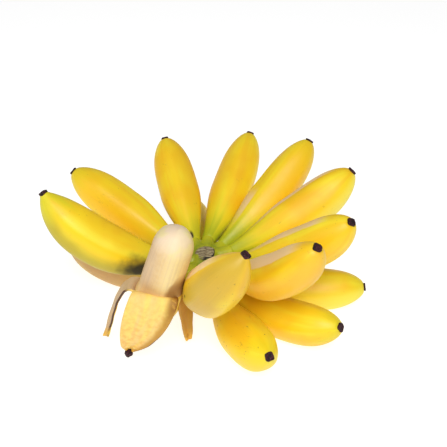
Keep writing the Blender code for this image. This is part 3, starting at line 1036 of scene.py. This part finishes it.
# Painted shade near the rim, beside banana_09.
shade_beside_banana_09 = times(tree, step(tree, right_and_bowl, 0.10, 0.80), step(tree, to_right, 0.3, 0.6))
shade_beside_banana_09 = times(tree, shade_beside_banana_09, outside(tree, step(tree, along, 0.62, 0.80)))
shade_beside_banana_09 = times(tree, shade_beside_banana_09, step(tree, blotches, 0.25, 0.5), 0.9)
colour = blend(tree, shade_beside_banana_09, colour, SHADE_BROWN)
# Painted shade along the front strip's lower edge.
lip = times(tree, step(tree, right_and_bowl, 0.80, 0.87), outside(tree, behind))
colour = blend(tree, times(tree, lip, step(tree, along, 0.80, 0.88)), colour, EDGE_SHADE)
worn_end = times(tree, step(tree, along, 0.93, 0.99), step(tree, blotches, 0.35, 0.6))
colour = blend(tree, worn_end, colour, WORN_AMBER)
put(tree, out["Colour"], colour)
put(tree, out["Roughness"], plus(tree, 0.5, times(tree, cloud, 0.2)))
put(tree, out["Height"], plus(tree, strings, times(tree, blotches, 0.5)))
inner = new_material("inside of the peel", tree, relief=0.15, depth=0.5 * MM)
outer = new_material("skin of the peeled banana", skin_group, neck_green=0.5, orange=0.6,
                     dullness=0.35, specks=0.4)
peel.data.materials.append(outer)
peel.data.materials.append(inner)
print("peel group nodes:", len(tree.nodes))

# %% Crown
# The cut is a flattened ball of dry colour round the crown's top, with a ragged rim. A dark lip
# follows that rim at the lower right.
WEB_GREEN = (0.24, 0.29, 0.008)
WEB_LIME = (0.38, 0.40, 0.012)
NECK_LIME = (0.54, 0.52, 0.012)
DRY_BROWN = (0.13, 0.085, 0.045)
DRY_GREY = (0.42, 0.35, 0.20)
LIP_BLACK = (0.02, 0.012, 0.008)
NECKS = (9 * MM, 17 * MM)  # between these distances from its axis the crown turns yellower
CUT_TOP = 42 * MM
CUT_RADIUS = 7.5 * MM
CUT_BORDER = 1.2 * MM
FLATTENED = 0.6

tree, given, out = new_group("crown", point_only, skin_outputs)
wrinkles = grain(tree, stretch(tree, given["Point"], (1, 2.4, 1)), 330, 5)
cloud = grain(tree, given["Point"], 130)
colour = blend(tree, step(tree, cloud, 0.35, 0.65), WEB_GREEN, WEB_LIME)
from_axis = vector_maths(tree, "DISTANCE", stretch(tree, given["Point"], (1, 1, 0)), tuple(CROWN_AXIS))
colour = blend(tree, times(tree, step(tree, from_axis, *NECKS), 0.85), colour, NECK_LIME)
middle = CROWN_AXIS + Vector((0, 0, FLATTENED * CUT_TOP))
flattened = stretch(tree, given["Point"], (1, 1, FLATTENED))
away = vector_maths(tree, "DISTANCE", flattened, tuple(middle))
ragged = plus(tree, away, waver(tree, cloud, 9 * MM))
cut = outside(tree, step(tree, ragged, CUT_RADIUS - CUT_BORDER, CUT_RADIUS))
dry = blend(tree, step(tree, wrinkles, 0.36, 0.62), DRY_BROWN, DRY_GREY)
colour = blend(tree, cut, colour, dry)
lip = times(tree, step(tree, ragged, CUT_RADIUS - 1.9 * MM, CUT_RADIUS - CUT_BORDER),
            outside(tree, step(tree, ragged, CUT_RADIUS - CUT_BORDER / 2, CUT_RADIUS)))
lower_right = vector_maths(tree, "DOT_PRODUCT", given["Point"], (0.8, -0.6, 0))
lip = times(tree, lip, step(tree, lower_right, 6 * MM, 9 * MM))
put(tree, out["Colour"], blend(tree, lip, colour, LIP_BLACK))
put(tree, out["Roughness"], plus(tree, 0.4, times(tree, cut, 0.35)))
put(tree, out["Height"], times(tree, wrinkles, plus(tree, 0.15, cut)))
crown.data.materials.append(new_material("crown", tree, relief=0.6, depth=0.8 * MM))
print("crown group nodes:", len(tree.nodes))

# %% [markdown]
# ## Tying the pieces to the solid model
#
# Every fine piece stands for the solid of its name and rides on the same body.

# %% Ride and replace
for name, skin in skins.items():
    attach(skin, "root")
    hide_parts(name)
for stub in stubs.values():
    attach(stub, "root")
for piece, node in ((crown, "crown"), (flesh, "flesh"), (peel, "peel")):
    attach(piece, "root")
    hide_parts(node)
print("pieces:", len(skins) + len(stubs) + 3)

# %% [markdown]
# ## Floor, light and camera
#
# The picture has a white ground without a shadow, so the ground is like a lit white table: it
# glows a little, which also brightens the bananas from below. A large key light stands high in
# front and gives the slow highlights. A weaker one at the left and the world fill the rest. The
# camera looks down at thirty-five degrees, close enough for some perspective.

# %% Floor
FLOOR_REACH = 12  # metres, so that its far edge stays out of most views
GLOW = 0.77

bm = bmesh.new()
bmesh.ops.create_grid(bm, x_segments=1, y_segments=1, size=FLOOR_REACH)
floor = finish_mesh("floor", bm, levels=0)
white = bpy.data.materials.new("lit white table")
white.use_nodes = True
shader = white.node_tree.nodes["Principled BSDF"]
shader.inputs["Base Color"].default_value = (0.5, 0.5, 0.5, 1)
shader.inputs["Roughness"].default_value = 0.9
shader.inputs["Emission Color"].default_value = (1, 1, 1, 1)
shader.inputs["Emission Strength"].default_value = GLOW
floor.data.materials.append(white)
print("floor glow:", GLOW)

# %% Light
ROOM_LIGHT = 0.25

scene = bpy.context.scene
scene.view_settings.view_transform = "Standard"
world = bpy.data.worlds.new("soft room")
world.use_nodes = True
background = world.node_tree.nodes["Background"]
background.inputs["Color"].default_value = (1, 1, 1, 1)
background.inputs["Strength"].default_value = ROOM_LIGHT
scene.world = world


def soft_light(name, place, size, power):
    """A square area light that looks at the middle of the hand."""
    data = bpy.data.lights.new(name, "AREA")
    data.size = size
    data.energy = power
    light = bpy.data.objects.new(name, data)
    light.location = place
    light.rotation_mode = "QUATERNION"
    light.rotation_quaternion = (Vector((0, 0, 0.04)) - Vector(place)).to_track_quat("-Z", "Y")
    scene.collection.objects.link(light)


soft_light("key light", place=(0.05, -0.55, 0.80), size=0.5, power=6.2)
soft_light("fill light", place=(-0.60, -0.40, 0.50), size=0.6, power=1.0)
print("lights: 2")

# %% Camera
PICTURE = 447  # pixels across
CROWN_ACROSS = 206  # the crown's pixel in the picture, from the left
CROWN_DOWN = 263  # and from the top
SCALE = 1440  # pixels in a metre at the crown
DISTANCE = 0.50
SENSOR = 36  # millimetres
ELEVATION = radians(35)
up = Vector((0, sin(ELEVATION), cos(ELEVATION)))
forward = Vector((0, cos(ELEVATION), -sin(ELEVATION)))
crown_top = CROWN_AXIS + Vector((0, 0, 32)) * MM
right_by = (PICTURE / 2 - CROWN_ACROSS) / SCALE
up_by = (CROWN_DOWN - PICTURE / 2) / SCALE
aim = crown_top + Vector((1, 0, 0)) * right_by + up * up_by
camera_data = bpy.data.cameras.new("camera")
camera_data.sensor_width = SENSOR
camera_data.lens = SENSOR * DISTANCE * SCALE / PICTURE
camera = bpy.data.objects.new("camera", camera_data)
camera.location = aim - forward * DISTANCE
camera.rotation_euler = (pi / 2 - ELEVATION, 0, 0)
scene.collection.objects.link(camera)
scene.camera = camera
print("lens:", round(camera_data.lens, 1), "mm")
